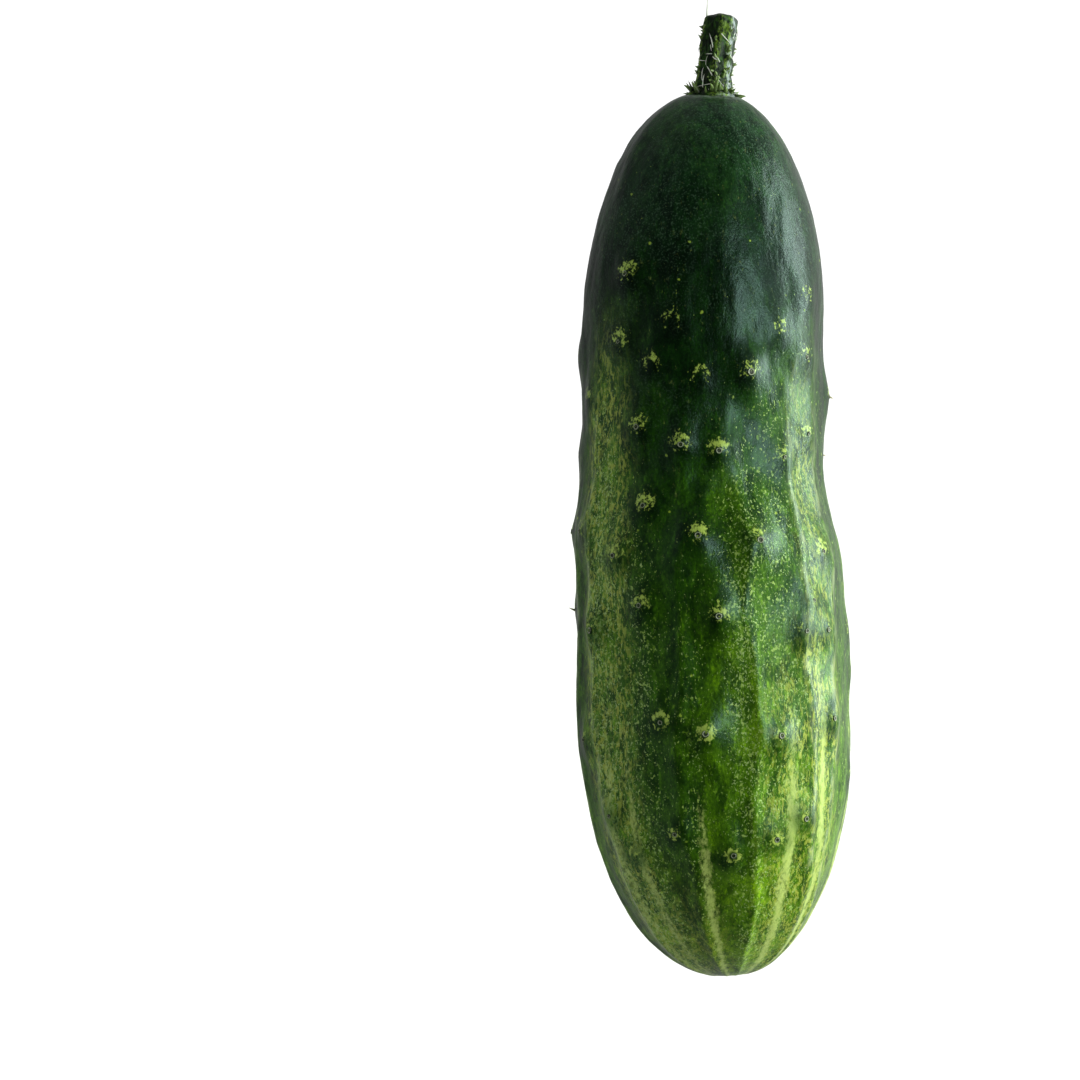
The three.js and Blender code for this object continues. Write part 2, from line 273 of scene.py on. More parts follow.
def outward(front, around):
    turned = np.asarray(around + math.radians(FACE_TURN))[..., None]
    return front * np.sin(turned) + UP * np.cos(turned)


def smooth_point(along, around):
    at, _, front = middle(along)
    return at + outward(front, around) * smooth_radius(along)[..., None]


def all_warts():
    """Every wart as a row of along, around in radians, and size."""
    rows = [(along, math.radians(around), size) for along, around, size in WARTS]
    for i, row in enumerate(BACK_ROWS):
        side = 1
        for along in range(BACK_FIRST + i * BACK_STAGGER % BACK_STEP, BACK_LAST + 1, BACK_STEP):
            rows.append((along, math.radians(row + side * BACK_SWAY), BACK_SIZE))
            side = -side
    return np.array(rows)


WART_TABLE = all_warts()
WART_POINTS = smooth_point(WART_TABLE[:, 0], WART_TABLE[:, 1])


def fbm(points, size, octaves=3, seed=0.0):
    """Fractal noise of features about size millimetres wide, from -1 to 1."""
    flat = points.reshape(-1, 3) / size + seed
    values = [noise.fractal(Vector(p), 1.0, 2.0, octaves) for p in flat]
    return np.array(values).reshape(points.shape[:-1])


def wart_relief(points):
    height = np.zeros(points.shape[:-1])
    nipple = np.zeros_like(height)
    for wart, size in zip(WART_POINTS, WART_TABLE[:, 2]):
        d = points - wart
        across = d[..., 1] ** 2 + d[..., 2] ** 2
        height += size * np.exp(-((d[..., 0] * WART_STRETCH) ** 2 + across) / (2 * WART_SPREAD**2))
        nipple += size * np.exp(-(d[..., 0] ** 2 + across) / (2 * TIP_SPREAD**2))
    return WART_HEIGHT * np.minimum(height, CROWDED) + TIP_HEIGHT * nipple


def from_ribs(along, around):
    """For each rib, the angle in degrees that the points stand to one side of its wandering line."""
    for i, angle in enumerate(RIB_ANGLES):
        wander = np.sin(along / 19 + 2.3 * i)
        wander = wander + 0.45 * np.sin(along / 5.2 + i) + 0.2 * np.sin(along / 2.3 + 3 * i)
        yield np.degrees(wrapped(around - np.radians(angle + RIB_WANDER * wander)))


def rib_relief(along, around):
    strength = 1 - RIB_FADE * smoothstep(along, RIB_FADE_FROM, RIB_FADE_TO)
    crested = smoothstep(-along, -CREST_FADE_TO, -CREST_FADE_FROM)
    height = np.zeros(np.broadcast(along, around).shape)
    for away in from_ribs(along, around):
        height += RIB_HEIGHT * np.exp(-(away**2) / (2 * RIB_SPREAD**2))
        height += CREST_HEIGHT * np.exp(-(away**2) / (2 * CREST_SPREAD**2)) * crested
    return strength * height


def wave_relief(along, around):
    lobes = LOBE_HEIGHT * np.cos(3 * (around - math.radians(LOBE_ANGLE)))
    waves = np.sin(along / 9 + 2 * around) + np.sin(along / 5.3 - 3 * around + 1)
    return lobes + WAVE_HEIGHT * waves


def skin_points(along, around):
    """Points of the finished skin for grids of along and around."""
    at, forward, front = middle(along)
    out = outward(front, around)
    radius = smooth_radius(along)
    points = at + out * radius[..., None]
    step = 0.01
    low = np.maximum(0, along - step)
    high = np.minimum(FRUIT_LENGTH, along + step)
    slope = (smooth_radius(high) - smooth_radius(low)) / (high - low)
    normal = out - forward * slope[..., None]
    normal /= np.linalg.norm(normal, axis=-1, keepdims=True)
    fade = smoothstep(radius, 0, NECK_RADIUS * RELIEF_FROM)
    height = fade * (rib_relief(along, around) + wave_relief(along, around) + wart_relief(points))
    height += fade * PUCKER_HEIGHT * fbm(points * [0.5, 1, 1], PUCKER_SIZE, 3)
    height += fade * PEBBLE_HEIGHT * fbm(points * [0.7, 1, 1], PEBBLE_SIZE, 2, 40.0)
    scar = SCAR_DEPTH * np.exp(-((radius / SCAR_RADIUS) ** 2))
    height -= np.where(along < BLOSSOM_CAP, scar, 0)
    points = points + normal * height[..., None]
    points[..., 2] = np.maximum(points[..., 2], 0)
    return points, normal


def skin_rows():
    """Distances along the fruit at which the skin has a ring of points, evenly spaced on its profile."""
    fine = FRUIT_LENGTH * (1 - np.cos(np.linspace(0, math.pi, 4001))) / 2
    step = np.hypot(np.diff(fine), np.diff(smooth_radius(fine)))
    length = np.concatenate([[0], np.cumsum(step)])
    return np.interp(np.linspace(0, length[-1], SKIN_ALONG + 1)[1:], length, fine)


# ---------------------------------------------------------------- meshes

def ring_grid(levels, sides):
    """Grids of the levels, one to a row, and of angles round a full turn, one to a column."""
    return np.meshgrid(levels, np.linspace(0, 2 * math.pi, sides, False), indexing="ij")


def new_piece(name, points, faces, node):
    """A mesh object from points in millimetres in the fruit's own frame."""
    points = np.array(points)
    points[:, 2] = np.maximum(points[:, 2], 0)
    mesh = bpy.data.meshes.new(name)
    mesh.from_pydata((points + SHIFT) * MM, [], faces)
    mesh.validate()
    mesh.polygons.foreach_set("use_smooth", [True] * len(mesh.polygons))
    piece = bpy.data.objects.new(name, mesh)
    bpy.context.scene.collection.objects.link(piece)
    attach(piece, "root")
    if node:
        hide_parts(node)
    return piece


def grid_faces(rows, columns):
    """Quads of a grid of points that closes on itself round each row."""
    faces = []
    for r in range(rows - 1):
        for c in range(columns):
            a = r * columns + c
            b = r * columns + (c + 1) % columns
            faces.append((a, b, b + columns, a + columns))
    return faces


def fan(ring, centre, flip=False):
    """Triangles from a ring of point numbers to one centre point."""
    pairs = zip(ring, ring[1:] + ring[:1])
    return [(b, a, centre) if flip else (a, b, centre) for a, b in pairs]


def store(piece, name, values, kind="FLOAT"):
    attribute = piece.data.attributes.new(name, kind, "POINT")
    field = "value" if kind == "FLOAT" else "vector"
    attribute.data.foreach_set(field, np.asarray(values, np.float32).ravel())


def crest_colour_and_highlight_mask(along, around):
    """The pale crests of the ribs, partly their own paler colour and partly a painted highlight, from the
    blossom end to past the middle but not on the face.
    """
    mask = np.zeros(np.broadcast(along, around).shape)
    for away in from_ribs(along, around):
        mask += np.exp(-(away**2) / (2 * PALE_CREST_SPREAD**2))
    off_face = smoothstep(np.abs(wrapped(around)), math.radians(FACE_FROM), math.radians(FACE_TO))
    return np.clip(mask, 0, 1) * smoothstep(-along, -PALE_CREST_FADE_TO, -PALE_CREST_FADE_FROM) * off_face


def band_mask(along, around, bands):
    """Bands along the fruit, each fading out below its top."""
    mask = np.zeros(np.broadcast(along, around).shape)
    for angle, half_width, top, strength in bands:
        away = np.abs(wrapped(around - math.radians(angle))) / math.radians(half_width)
        mask += strength * np.exp(-(away**2)) * (1 - smoothstep(along, top - BAND_FADE, top))
    return np.clip(mask, 0, 1)


def stripe_mask(along, around):
    mask = np.zeros(np.broadcast(along, around).shape)
    for i, (angle, width, length, strength) in enumerate(STRIPES):
        wander = math.radians(STRIPE_WANDER) * np.sin(along / 14 + 1.7 * i)
        spread = math.radians(width) * np.maximum(1.7 - along / length, 0.5)
        away = wrapped(around - math.radians(angle) - wander) / spread
        mask += strength * np.exp(-(away**2)) * (1 - smoothstep(along, 0.45 * length, length))
    return np.clip(mask, 0, 1)


def wart_offsets(points):
    """For each point, the nearest wart's distance, how much the point is on its stem side, and its size."""
    best = np.full(len(points), np.inf)
    found = np.zeros((len(points), 3))
    for wart, size in zip(WART_POINTS, WART_TABLE[:, 2]):
        d = points - wart
        distance = np.linalg.norm(d, axis=-1)
        near = distance < best
        best[near] = distance[near]
        lean = d[near, 0] / np.maximum(distance[near], 0.3)
        found[near] = np.stack([distance[near], lean, np.full(near.sum(), size)], -1)
    return found


def make_fruit():
    along, around = ring_grid(skin_rows(), SKIN_AROUND)
    points, _ = skin_points(along, around)
    tip, _ = skin_points(np.zeros(1), np.zeros(1))
    seat = middle(FRUIT_LENGTH)[0][None, :]
    flat = np.concatenate([points.reshape(-1, 3), tip, seat])
    first = list(range(SKIN_AROUND))
    last = [(SKIN_ALONG - 1) * SKIN_AROUND + i for i in first]
    faces = grid_faces(SKIN_ALONG, SKIN_AROUND)
    faces += fan(first, len(flat) - 2, flip=True) + fan(last, len(flat) - 1)
    piece = new_piece("cucumber_skin", flat, faces, "fruit")
    along = np.append(along.ravel(), [0, FRUIT_LENGTH])
    around = np.append(around.ravel(), [0, 0])
    store(piece, "along", along)
    store(piece, "stripe", stripe_mask(along, around))
    store(piece, "speckle", band_mask(along, around, SPECKLES))
    store(piece, "marbled", band_mask(along, around, MARBLED))
    store(piece, "crest", crest_colour_and_highlight_mask(along, around))
    store(piece, "pale", band_mask(along, around, PALE_SIDES))
    store(piece, "wart", wart_offsets(flat), "FLOAT_VECTOR")
    return piece


def circle_round(axis, sides, hint):
    """The points of a circle of radius 1 square to an axis. The hint is any other direction."""
    side = np.cross(axis, hint)
    side /= np.linalg.norm(side)
    other = np.cross(axis, side)
    angles = np.linspace(0, 2 * math.pi, sides, False)
    return np.cos(angles)[:, None] * side + np.sin(angles)[:, None] * other


def lathe(profile, sides, at, axis):
    """A turned shape standing at a point along an axis, as points and faces. It closes at its last ring."""
    axis = axis / np.linalg.norm(axis)
    circle = circle_round(axis, sides, [0.3, 0.9, 0.2])
    rings = [at + axis * height + circle * radius for radius, height in profile]
    points = np.concatenate(rings + [(at + axis * profile[-1][1])[None, :]])
    last = list(range((len(profile) - 1) * sides, len(profile) * sides))
    return points, grid_faces(len(profile), sides) + fan(last, len(points) - 1)


def horn(at, direction, bend, length, radius, sides=8, rings=6, sharpness=1.0):
    """A tapering, curved spike, as points, faces and how far each point is along it."""
    direction = direction / np.linalg.norm(direction)
    circle = circle_round(direction, sides, [0.31, 0.87, 0.38])
    points, share = [], []
    for t in np.linspace(0, 1, rings, False):
        centre = at + direction * length * t + bend * length * t * t
        points.append(centre + circle * radius * (1 - t) ** sharpness)
        share += [t] * sides
    points.append((at + (direction + bend) * length)[None, :])
    last = list(range((rings - 1) * sides, rings * sides))
    return np.concatenate(points), grid_faces(rings, sides) + fan(last, rings * sides), share + [1.0]


def gather(name, parts, attribute):
    """One piece from many (points, faces, values), with the values stored as an attribute."""
    points, faces, values = [], [], []
    start = 0
    for p, f, v in parts:
        points.append(p)
        faces += [tuple(i + start for i in face) for face in f]
        values += list(v)
        start += len(p)
    piece = new_piece(name, np.concatenate(points), faces, None)
    store(piece, attribute, values)
    return piece


def make_wart_scars():
    """The small raised ring that each lost spine has left on its wart."""
    tops, normals = skin_points(WART_TABLE[:, 0], WART_TABLE[:, 1])
    parts = []
    for top, normal, size in zip(tops, normals, WART_TABLE[:, 2]):
        if size < SMALLEST_SCARRED:
            continue
        profile = [(r * size * SCAR_SCALE, h) for r, h in SCAR_PROFILE]
        points, faces = lathe(profile, SCAR_SIDES, top, normal + RNG.normal(0, SCAR_TILT, 3))
        points += RNG.normal(0, SCAR_WEAR, points.shape)
        share = np.repeat(np.linspace(0, 0.9, len(SCAR_PROFILE)), SCAR_SIDES)
        parts.append((points, faces, list(share) + [1.0]))
    return gather("wart_scars", parts, "inward")


def make_wart_spines():
    """The few spines still on their warts."""
    tops, normals = skin_points(WART_TABLE[:, 0], WART_TABLE[:, 1])
    parts = []
    for i, (top, normal, along) in enumerate(zip(tops, normals, WART_TABLE[:, 0])):
        drawn = RNG.random() <= SPINE_SHARE
        on_back = i >= len(WARTS)
        if not (drawn if on_back else along in SPINED):
            continue
        lean = RNG.normal(0, SPINE_LEAN, 3)
        length = SPINE_LENGTH * RNG.uniform(0.6, 1.1)
        root = top - normal * SPINE_SINK
        parts.append(horn(root, normal + lean, lean * 0.5, length, SPINE_RADIUS, 10, 7, 0.8))
    return gather("wart_spines", parts, "tip")


def make_blossom_scar():
    """The corky rosette that the flower left in its dimple."""
    radius, around = ring_grid(np.linspace(ROSETTE_RADIUS, ROSETTE_HOLE, ROSETTE_RINGS), ROSETTE_SIDES)
    along = BLOSSOM_CAP / 2 * (radius / BUTT_RADIUS) ** 2
    points, normal = skin_points(along, around)
    rise = ROSETTE_HEIGHT * (1 - (radius / ROSETTE_RADIUS) ** 6)
    rise += ROSETTE_FOLDS * np.cos(ROSETTE_LOBES * around) * np.exp(-((radius - 1.2) / 0.6) ** 2)
    rise += ROSETTE_GRAIN * fbm(points, 0.7, 3) - ROSETTE_RIM * (radius > ROSETTE_RADIUS - 0.1)
    points = (points + normal * rise[..., None]).reshape(-1, 3)
    centre = points[-ROSETTE_SIDES:].mean(0, keepdims=True)
    last = list(range(len(points) - ROSETTE_SIDES, len(points)))
    faces = grid_faces(ROSETTE_RINGS, ROSETTE_SIDES) + fan(last, len(points))
    return new_piece("blossom_scar", np.concatenate([points, centre]), faces, None)


# ---------------------------------------------------------------- the stem

STEM_SEAT, STEM_FORWARD, STEM_FRONT = middle(FRUIT_LENGTH)


def stem_point(height, around, radius):
    """A point of the stem at a height above its seat, and the direction outwards there."""
    height, around, radius = (np.asarray(v, float)[..., None] for v in (height, around, radius))
    out = STEM_FRONT * np.sin(around) + UP * np.cos(around)
    bend = STEM_FRONT * STEM_BEND * (np.maximum(height, 0) / STEM_LENGTH) ** 2
    return STEM_SEAT + STEM_FORWARD * (height - STEM_SINK) + bend + out * radius, out


def stem_ribs(height, around):
    """1 along the wandering crest of each of the stem's ribs, falling to 0 between them."""
    crest = np.zeros(np.broadcast(height, around).shape)
    for i, angle in enumerate(STEM_RIB_ANGLES):
        wander = 4 * np.sin(height / 1.9 + 2 * i) + 3 * np.sin(height / 0.83 + 5 * i)
        away = np.degrees(wrapped(around - np.radians(angle + wander))) / STEM_RIB_SPREAD
        crest += np.exp(-(away**2) / 2)
    return crest


def stem_radius(height, around):
    """Raised ribs, finer strings between them and a ragged foot."""
    levels, radii = zip(*STEM_OUTLINE)
    radius = np.interp(height, levels, radii)
    place = np.stack([radius * np.sin(around), radius * np.cos(around), height * 0.35], -1)
    strings = STEM_STRINGS * fbm(place, 0.8, 3) + STEM_KNOBS * fbm(place * [1, 1, 2], 1.7, 2, 9.0)
    foot = STEM_FOOT_LOBES * np.cos(9 * around + 1) * smoothstep(-height, -2.0, -0.4)
    ribbed = radius * (1 + STEM_RIB_HEIGHT * stem_ribs(height, around))
    return ribbed + (strings + foot) * smoothstep(radius, 0.3, 2.5)


def make_stem():
    dome = STEM_DOME * np.sin(np.linspace(0, math.pi / 2, STEM_DOME_ROWS + 1)[1:])
    shaft = np.linspace(0, STEM_LENGTH - STEM_DOME, STEM_SHAFT_ROWS)
    height, around = ring_grid(np.concatenate([shaft, STEM_LENGTH - STEM_DOME + dome]), STEM_AROUND)
    radius = stem_radius(height, around)
    over = np.clip((height - STEM_LENGTH) / STEM_DOME + 1, 0, 1)
    radius *= np.sqrt(np.maximum(1 - over**2, 0.0025))
    place = np.stack([radius * np.sin(around), radius * np.cos(around), over * 0], -1)
    lumps = CUT_LUMPS * fbm(place, 1.1, 3, 5.0)
    points, _ = stem_point(height + lumps * smoothstep(over, 0.2, 0.9), around, radius)
    flat = points.reshape(-1, 3)
    top = flat[-STEM_AROUND:].mean(0, keepdims=True)
    foot = flat[:STEM_AROUND].mean(0, keepdims=True)
    count = len(flat)
    faces = grid_faces(len(height), STEM_AROUND)
    faces += fan(list(range(count - STEM_AROUND, count)), count)
    faces += fan(list(range(STEM_AROUND)), count + 1, flip=True)
    piece = new_piece("stem_flesh", np.concatenate([flat, top, foot]), faces, "stem")
    store(piece, "rib", np.append(np.clip(stem_ribs(height, around), 0, 1).ravel(), [0, 0]))
    store(piece, "side", np.append(np.sin(around).ravel(), [0, 0]))
    store(piece, "height", np.append(height.ravel(), [STEM_LENGTH, 0]))
    store(piece, "cut", np.append(smoothstep(over, 0.35, 0.75).ravel(), [1, 0]))
    return piece


def stem_growth(name, count, length, radius, span, lift, on_ribs):
    """Spikes spread over the stem between two heights, and lifted towards its cut end."""
    parts = []
    for i in range(count):
        around = RNG.uniform(0, 2 * math.pi)
        if on_ribs:
            around = math.radians(STEM_RIB_ANGLES[i % len(STEM_RIB_ANGLES)]) + RNG.normal(0, 0.14)
        height = RNG.uniform(*span)
        skin = stem_radius(np.array(height), np.array(around))
        at, out = stem_point(height, around, skin - 0.6 * radius)
        across = np.cross(STEM_FORWARD, out)
        direction = out + STEM_FORWARD * RNG.normal(lift, 0.35) + across * RNG.normal(0, CURL)
        bend = STEM_FORWARD * RNG.normal(0.15, CURL) + across * RNG.normal(0, CURL)
        size = RNG.uniform(0.6, 1.15)
        parts.append(horn(at, direction, bend, length * size, radius * size))
    return gather(name, parts, "tip")


def make_hairs():
    """Long weak hairs, most of them lying along or across the stem, and a loose fibre at the cut."""
    parts = []
    for _ in range(HAIRS):
        around = RNG.uniform(0, 2 * math.pi)
        height = RNG.uniform(*HAIR_SPAN)
        skin = stem_radius(np.array(height), np.array(around))
        at, out = stem_point(height, around, skin + 0.02)
        across = np.cross(STEM_FORWARD, out)
        angle = RNG.uniform(0, 2 * math.pi)
        direction = out * RNG.uniform(0.05, 0.5)
        direction = direction + STEM_FORWARD * math.cos(angle) + 0.8 * across * math.sin(angle)
        bend = -0.35 * out + across * RNG.normal(0, CURL)
        size = RNG.uniform(0.5, 1.2)
        radius = HAIR_RADIUS * RNG.uniform(0.8, 1.6)
        parts.append(horn(at, direction, bend, HAIR_LENGTH * size, radius, 6, 7, 0.45))
    at, _ = stem_point(*FIBRE_PLACE)
    bend = np.array([0, 0.04, 0.06])
    parts.append(horn(at, STEM_FORWARD, bend, FIBRE_LENGTH, FIBRE_RADIUS, 6, 8, 0.3))
    return gather("stem_hairs", parts, "tip")


def find_shift():
    """What to add to a point in the fruit's own frame to get it in the row frame, in millimetres."""
    low, high = (np.array(v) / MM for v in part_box("fruit"))
    rim = np.linspace(0, 2 * math.pi, 72)
    seat = smooth_point(np.full(len(rim), FRUIT_LENGTH), rim)
    body, _ = skin_points(*np.meshgrid(np.linspace(30, 120, 91), rim, indexing="ij"))
    middle_y = (body[..., 1].min() + body[..., 1].max()) / 2
    return np.array([high[0] - seat[:, 0].max(), (low[1] + high[1]) / 2 - middle_y, 0])


# ---------------------------------------------------------------- materials

class Tree:
    """The nodes of a material or a world, with short calls for the few kinds used here."""

    def __init__(self, owner):
        owner.use_nodes = True
        self.owner = owner
        self.nodes = owner.node_tree.nodes
        self.links = owner.node_tree.links

    def plug(self, socket, value):
        if isinstance(value, bpy.types.NodeSocket):
            self.links.new(value, socket)
        elif isinstance(value, tuple) and len(value) == 3 and socket.type == "RGBA":
            socket.default_value = (*value, 1)
        else:
            socket.default_value = value

    def set(self, **values):
        shader = self.nodes["Principled BSDF"]
        for name, value in values.items():
            self.plug(shader.inputs[name.replace("_", " ")], value)

    def attribute(self, name, output="Fac"):
        node = self.nodes.new("ShaderNodeAttribute")
        node.attribute_name = name
        return node.outputs[output]

    def split(self, vector):
        """The three parts of a vector."""
        node = self.nodes.new("ShaderNodeSeparateXYZ")
        self.links.new(vector, node.inputs[0])
        return node.outputs

    def math(self, operation, *values, clamp=False):
        node = self.nodes.new("ShaderNodeMath")
        node.operation = operation
        node.use_clamp = clamp
        for socket, value in zip(node.inputs, values):
            self.plug(socket, value)
        return node.outputs[0]

    def plus(self, a, b):
        return self.math("ADD", a, b)

    def minus(self, a, b):
        return self.math("SUBTRACT", a, b)

    def times(self, a, b):
        return self.math("MULTIPLY", a, b)

    def stray(self, value, noise, amount):
        """The value, moved to each side by up to half the amount as the noise says."""
        return self.plus(value, self.times(self.minus(noise, 0.5), amount))

    def step(self, value, low, high):
        """0 below low, 1 above high and smooth between, or the other way round."""
        node = self.nodes.new("ShaderNodeMapRange")
        node.interpolation_type = "SMOOTHSTEP"
        flip = low > high
        for name, v in (("Value", value), ("From Min", min(low, high)), ("From Max", max(low, high))):
            self.plug(node.inputs[name], v)
        self.plug(node.inputs["To Min"], 1.0 if flip else 0.0)
        self.plug(node.inputs["To Max"], 0.0 if flip else 1.0)
        return node.outputs[0]

    def mix(self, factor, a, b, blend="MIX"):
        node = self.nodes.new("ShaderNodeMix")
        node.data_type = "RGBA"
        node.blend_type = blend
        self.plug(node.inputs[0], factor)
        self.plug(node.inputs[6], a)
        self.plug(node.inputs[7], b)
        return node.outputs[2]

    def paint(self, base, mask, strength, color):
        """The base colour, covered with another to this strength where the mask is 1."""
        return self.mix(self.times(mask, strength), base, color)

    def tint(self, base, mask, shade):
        """The base colour, multiplied by a shade where the mask is 1."""
        return self.mix(mask, base, self.mix(1.0, base, shade, "MULTIPLY"))

    def place(self, scale):
        """The row-frame place in millimetres, times scale on each axis."""
        coordinates = self.nodes.new("ShaderNodeTexCoord")
        mapping = self.nodes.new("ShaderNodeMapping")
        self.links.new(coordinates.outputs["Object"], mapping.inputs["Vector"])
        mapping.inputs["Scale"].default_value = [s / MM for s in scale]
        return mapping.outputs[0]

    def noise(self, size, stretch=1.0, detail=2.0, roughness=0.5, distortion=0.0):
        """Noise with features of that many millimetres, drawn out along the fruit by stretch."""
        node = self.nodes.new("ShaderNodeTexNoise")
        self.links.new(self.place((1 / size / stretch, 1 / size, 1 / size)), node.inputs["Vector"])
        self.plug(node.inputs["Scale"], 1.0)
        self.plug(node.inputs["Detail"], detail)
        self.plug(node.inputs["Roughness"], roughness)
        self.plug(node.inputs["Distortion"], distortion)
        return node.outputs["Fac"]

    def cells(self, size):
        """Distance from the nearest of scattered points, in cells, and a random number for each point."""
        node = self.nodes.new("ShaderNodeTexVoronoi")
        self.links.new(self.place((1 / size, 1 / size, 1 / size)), node.inputs["Vector"])
        self.plug(node.inputs["Scale"], 1.0)
        split = self.nodes.new("ShaderNodeSeparateColor")
        self.links.new(node.outputs["Color"], split.inputs[0])
        return node.outputs["Distance"], split.outputs[0]

    def ramp(self, factor, *stops):
        node = self.nodes.new("ShaderNodeValToRGB")
        self.plug(node.inputs[0], factor)
        elements = node.color_ramp.elements
        while len(elements) < len(stops):
            elements.new(0.5)
        for element, (position, color) in zip(elements, stops):
            element.position = position
            element.color = (*color, 1)
        return node.outputs[0]

    def bump(self, height, distance, strength=1.0, normal=None):
        node = self.nodes.new("ShaderNodeBump")
        self.plug(node.inputs["Height"], height)
        self.plug(node.inputs["Distance"], distance * MM)
        self.plug(node.inputs["Strength"], strength)
        if normal:
            self.links.new(normal, node.inputs["Normal"])
        return node.outputs[0]


def new_material(name):
    return Tree(bpy.data.materials.new(name))


def ground_colours(t, along, grain):
    """The green of the skin from end to end, paler down the sides, with streaks, patches and a fine grain."""
    place = t.stray(t.math("DIVIDE", along, FRUIT_LENGTH), t.noise(16, 1.6), 0.12)
    base = t.mix(t.attribute("pale"), t.ramp(place, *SKIN_GREENS), PALE_GREEN)
    base = t.tint(base, t.step(t.noise(7, 2.6, 3.0), 0.42, 0.66), (1.9, 1.6, 1.2))
    base = t.tint(base, t.step(t.noise(2.6, 1.8, 4.0, 0.65), 0.56, 0.40), (0.36, 0.44, 0.4))
    base = t.tint(base, t.step(t.noise(0.9, 3.5, 3.0, 0.65), 0.52, 0.64), (1.9, 1.7, 1.4))
    base = t.tint(base, t.step(grain, 0.50, 0.68), (1.8, 1.6, 1.6))
    return t.tint(base, t.step(grain, 0.50, 0.34), (0.60, 0.65, 0.60))


def marbling(t, base):
    """Olive marbling like wood grain, and the pale crests of the ribs, which are partly a painted highlight.
    """
    marble = t.step(t.noise(0.60, 2.8, 4.0, 0.75, 0.5), 0.49, 0.57)
    marble = t.times(marble, t.step(t.noise(2.2, 2.0, 3.0), 0.30, 0.52))
    marble = t.times(marble, t.step(t.attribute("marbled"), 0.1, 0.8))
    base = t.paint(base, marble, 0.85, OLIVE)
    # partly painted highlight: a pale line along the rib crests off the face
    crest = t.times(t.attribute("crest"), t.step(t.noise(0.9, 5.0, 4.0, 0.7), 0.42, 0.60))
    return t.paint(base, crest, 0.5, CREST_GREEN_AND_HIGHLIGHT)


def specks(t, base, along):
    """Pale specks of three sizes in loose clumps, and a few lone dots everywhere but next to the stem."""
    clumps = t.plus(t.noise(4, 2.2, 3.0), 0.5)
    amount = t.math("MULTIPLY", t.attribute("speckle"), clumps, clamp=True)
    for size, stretch, strength, color in SPECKS:
        base = t.paint(base, spots(t, size, stretch, amount), strength, color)
    lone = t.times(lone_dots(t), t.step(along, DOTS_TO, DOTS_FROM))
    return t.paint(base, lone, 0.8, DOT_GREEN)


def spots(t, size, stretch, amount):
    """Irregular spots of about size millimetres, more of them where amount, from 0 to 1, is high."""
    level = t.minus(0.76, t.times(amount, 0.18))
    above = t.minus(t.noise(size, stretch, 2.0, 0.55), level)
    return t.math("DIVIDE", above, 0.05, clamp=True)


def lone_dots(t):
    """Scattered single dots, in about a third of the cells of a coarse pattern."""
    distance, chance = t.cells(3.0)
    distance = t.stray(distance, t.noise(0.4), 0.16)
    return t.times(t.step(distance, 0.11, 0.05), t.step(chance, 0.60, 0.65))


def stripes(t, base):
    """Pale ragged stripes at the blossom end."""
    stripe = t.stray(t.attribute("stripe"), t.noise(0.8, 1.8, 4.0, 0.75), 2.4)
    return t.paint(base, t.step(stripe, 0.25, 1.0), 0.80, STRIPE_YELLOW)


def wart_colours_and_shade(t, base, along):
    """Yellow-green blotches round each wart, open below it on the stem half, and painted shade darkening each
    wart and the skin round it, deepest on its blossom side.
    """
    distance, lean, size = t.split(t.attribute("wart", "Vector"))
    below = t.minus(1.0, lean)
    # painted shade: darkens each wart and the skin near it, most on its blossom side, where its bulge would
    # be in shadow
    shade = t.times(t.step(distance, 4.6, 1.2), t.plus(0.50, t.times(below, 0.25)))
    base = t.tint(base, shade, (0.18, 0.30, 0.22))
    stem_half = t.step(along, 30, 62)
    gap = t.times(stem_half, t.times(below, 0.40))
    far = t.math("DIVIDE", t.minus(distance, 0.9), t.plus(1.0, stem_half))
    ring = t.times(t.minus(t.step(far, 1.3, 0.2), gap), t.math("POWER", size, 0.5))
    blotch = t.stray(ring, t.noise(0.6, 1.2, 3.0, 0.7), 3.2)
    inside = t.minus(1.05, t.times(stem_half, 0.28))
    halo = t.times(t.step(blotch, 0.54, 0.96), t.step(t.minus(distance, inside), 0.0, 0.30))
    return t.mix(halo, base, HALO_GREEN)


def bloom(t, base, along):
    """A pale bloom, partly painted glints of the skin's sheen, dusted on towards the stem, and a dry grey rim
    round its foot.
    """
    # partly painted glints: fine pale dots for the sparkle of the waxy skin, over its bloom
    bloom_dust_and_glints = t.times(t.step(t.noise(0.30, 1.0, 1.0), 0.55, 0.68), t.step(t.noise(9, 1.5, 3.0), 0.30, 0.60))
    bloom_dust_and_glints = t.times(bloom_dust_and_glints, t.step(along, BLOOM_FROM, BLOOM_TO))
    base = t.paint(base, bloom_dust_and_glints, 0.40, BLOOM_AND_GLINT_GREEN)
    rim = t.times(t.step(along, RIM_FROM, RIM_TO), t.step(t.noise(0.6, 1.0, 4.0, 0.7), 0.30, 0.65))
    return t.paint(base, rim, 0.6, RIM_GREY)


def skin_material():
    t = new_material("cucumber_skin")
    along = t.attribute("along")
    grain = t.noise(0.40, 1.3, 3.0, 0.7)
    base = ground_colours(t, along, grain)
    base = marbling(t, base)
    base = specks(t, base, along)
    base = stripes(t, base)
    base = wart_colours_and_shade(t, base, along)
    base = bloom(t, base, along)
    t.set(Base_Color=base, Roughness=0.32, Specular_IOR_Level=0.36, Specular_Tint=(0.60, 1.0, 0.88, 1))
    relief = t.bump(t.noise(1.1, 1.8, 3.0, 0.6), 0.10, 0.7)
    t.set(Normal=t.bump(grain, 0.06, 0.9, relief))
    return t.owner


def scar_material():
    """A pale corky ring with a dark pit in it."""
    t = new_material("wart_scar")
    inward = t.stray(t.attribute("inward"), t.noise(0.3), 0.25)
    t.set(Base_Color=t.ramp(inward, *SCAR_COLOURS), Roughness=0.45)
    t.set(Normal=t.bump(t.noise(0.2), 0.02, 0.5))
    return t.owner


